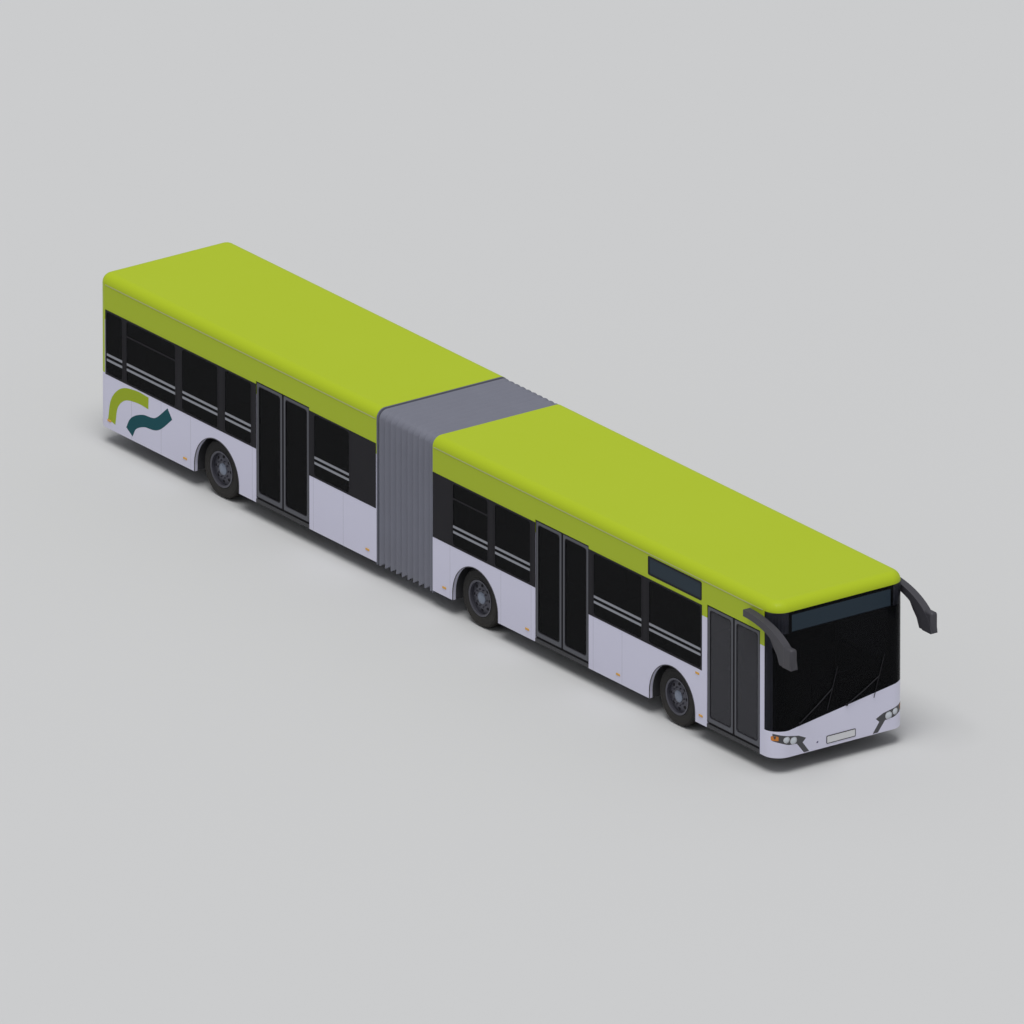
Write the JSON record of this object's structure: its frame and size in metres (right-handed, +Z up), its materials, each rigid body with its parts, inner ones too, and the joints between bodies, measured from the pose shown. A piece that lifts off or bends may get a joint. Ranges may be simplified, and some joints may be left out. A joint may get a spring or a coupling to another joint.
{
  "type": "articulated bus",
  "caption": "Articulated low-floor city bus: two body sections on a turntable with a folding bellows, swing-in double doors, steered front wheels and arm mirrors.",
  "frame": {"origin": "on the ground, midway between the mirrors' front edge and the tail, on the bus's middle plane", "axes": "+X points to the nose, +Y to the bus's left, +Z up"},
  "size_m": [18.6, 2.82, 2.85],
  "materials": {
    "body_paint": "white gloss with a lime upper band",
    "roof_paint": "lime gloss",
    "tinted_glass": "dark tinted gloss",
    "bar_metal": "satin",
    "lamp_plastic": "gloss lamp cluster",
    "display": "blank display",
    "trim_plastic": "grained",
    "seat_fabric": "woven",
    "axle_iron": "painted black",
    "bellows_fabric": "coated folds",
    "underbody": "matt black",
    "red_lens": "clear lens",
    "tyre_rubber": "matt tread",
    "rim_metal": "satin grey",
    "door_metal": "satin grey"
  },
  "bodies": {
    "front_section": {"front_floor": "underbody", "front_right_wall": "body_paint", "front_left_wall": "body_paint", "front_roof": "roof_paint", "front_mask": "body_paint", "windscreen": "tinted_glass", "front_windows": "tinted_glass", "front_window_bars": "bar_metal", "headlights": "lamp_plastic", "route_signs": "display", "mirrors": "trim_plastic", "driver_cab": "trim_plastic", "driver_seat": "seat_fabric", "front_seats": "seat_fabric", "front_axle": "axle_iron", "middle_axle": "axle_iron", "bellows": "bellows_fabric", "turntable": "axle_iron"},
    "rear_section": {"rear_floor": "underbody", "rear_right_wall": "body_paint", "rear_left_wall": "body_paint", "rear_roof": "roof_paint", "tail": "body_paint", "rear_windows": "tinted_glass", "rear_window_bars": "bar_metal", "tail_lamps": "red_lens", "rear_seats": "seat_fabric", "rear_axle": "axle_iron", "engine_deck": "underbody", "engine_block": "axle_iron", "pivot_frame": "axle_iron"},
    "right_knuckle": {"right_knuckle": "axle_iron"},
    "left_knuckle": {"left_knuckle": "axle_iron"},
    "front_right_wheel": {"front_right_tyre": "tyre_rubber", "front_right_rim": "rim_metal"},
    "front_left_wheel": {"front_left_tyre": "tyre_rubber", "front_left_rim": "rim_metal"},
    "middle_right_wheels": {"middle_right_tyres": "tyre_rubber", "middle_right_rims": "rim_metal"},
    "middle_left_wheels": {"middle_left_tyres": "tyre_rubber", "middle_left_rims": "rim_metal"},
    "rear_right_wheels": {"rear_right_tyres": "tyre_rubber", "rear_right_rims": "rim_metal"},
    "rear_left_wheels": {"rear_left_tyres": "tyre_rubber", "rear_left_rims": "rim_metal"},
    "front_door_fore": {"front_door_fore_leaf": "door_metal"},
    "front_door_aft": {"front_door_aft_leaf": "door_metal"},
    "mid_door_fore": {"mid_door_fore_leaf": "door_metal"},
    "mid_door_aft": {"mid_door_aft_leaf": "door_metal"},
    "rear_door_fore": {"rear_door_fore_leaf": "door_metal"},
    "rear_door_aft": {"rear_door_aft_leaf": "door_metal"}
  },
  "joints": [
    {"name": "articulation", "type": "hinge", "parent": "front_section", "child": "rear_section", "pos_m": [-1.06, 0, 0.3], "axis": [0, 0, 1], "range_deg": [-50, 50], "deforming": ["bellows"]},
    {"name": "right_steering", "type": "hinge", "parent": "front_section", "child": "right_knuckle", "pos_m": [6.02, -0.9105, 0.478], "axis": [0, 0, 1], "range_deg": [-45, 45]},
    {"name": "left_steering", "type": "hinge", "parent": "front_section", "child": "left_knuckle", "pos_m": [6.02, 0.9105, 0.478], "axis": [0, 0, 1], "range_deg": [-45, 45]},
    {"name": "front_right_wheel_spin", "type": "hinge", "parent": "right_knuckle", "child": "front_right_wheel", "pos_m": [6.02, -1.0505, 0.478], "axis": [0, 1, 0], "continuous": true},
    {"name": "front_left_wheel_spin", "type": "hinge", "parent": "left_knuckle", "child": "front_left_wheel", "pos_m": [6.02, 1.0505, 0.478], "axis": [0, 1, 0], "continuous": true},
    {"name": "middle_right_wheels_spin", "type": "hinge", "parent": "front_section", "child": "middle_right_wheels", "pos_m": [0.82, -1.0505, 0.478], "axis": [0, 1, 0], "continuous": true},
    {"name": "middle_left_wheels_spin", "type": "hinge", "parent": "front_section", "child": "middle_left_wheels", "pos_m": [0.82, 1.0505, 0.478], "axis": [0, 1, 0], "continuous": true},
    {"name": "rear_right_wheels_spin", "type": "hinge", "parent": "rear_section", "child": "rear_right_wheels", "pos_m": [-6.1, -1.0505, 0.478], "axis": [0, 1, 0], "continuous": true},
    {"name": "rear_left_wheels_spin", "type": "hinge", "parent": "rear_section", "child": "rear_left_wheels", "pos_m": [-6.1, 1.0505, 0.478], "axis": [0, 1, 0], "continuous": true},
    {"name": "front_door_fore_swing", "type": "hinge", "parent": "front_section", "child": "front_door_fore", "pos_m": [8.283, -1.19, 1.3], "axis": [0, 0, -1], "range_deg": [0, 90]},
    {"name": "front_door_aft_swing", "type": "hinge", "parent": "front_section", "child": "front_door_aft", "pos_m": [6.957, -1.19, 1.3], "axis": [0, 0, 1], "range_deg": [0, 90]},
    {"name": "mid_door_fore_swing", "type": "hinge", "parent": "front_section", "child": "mid_door_fore", "pos_m": [3.79, -1.19, 1.3], "axis": [0, 0, -1], "range_deg": [0, 90]},
    {"name": "mid_door_aft_swing", "type": "hinge", "parent": "front_section", "child": "mid_door_aft", "pos_m": [2.437, -1.19, 1.3], "axis": [0, 0, 1], "range_deg": [0, 90]},
    {"name": "rear_door_fore_swing", "type": "hinge", "parent": "rear_section", "child": "rear_door_fore", "pos_m": [-3.637, -1.19, 1.3], "axis": [0, 0, -1], "range_deg": [0, 90]},
    {"name": "rear_door_aft_swing", "type": "hinge", "parent": "rear_section", "child": "rear_door_aft", "pos_m": [-5.009, -1.19, 1.3], "axis": [0, 0, 1], "range_deg": [0, 90]}
  ],
  "couplings": [
    {"joint": "right_steering", "follows": "left_steering", "ratio": 1}
  ]
}
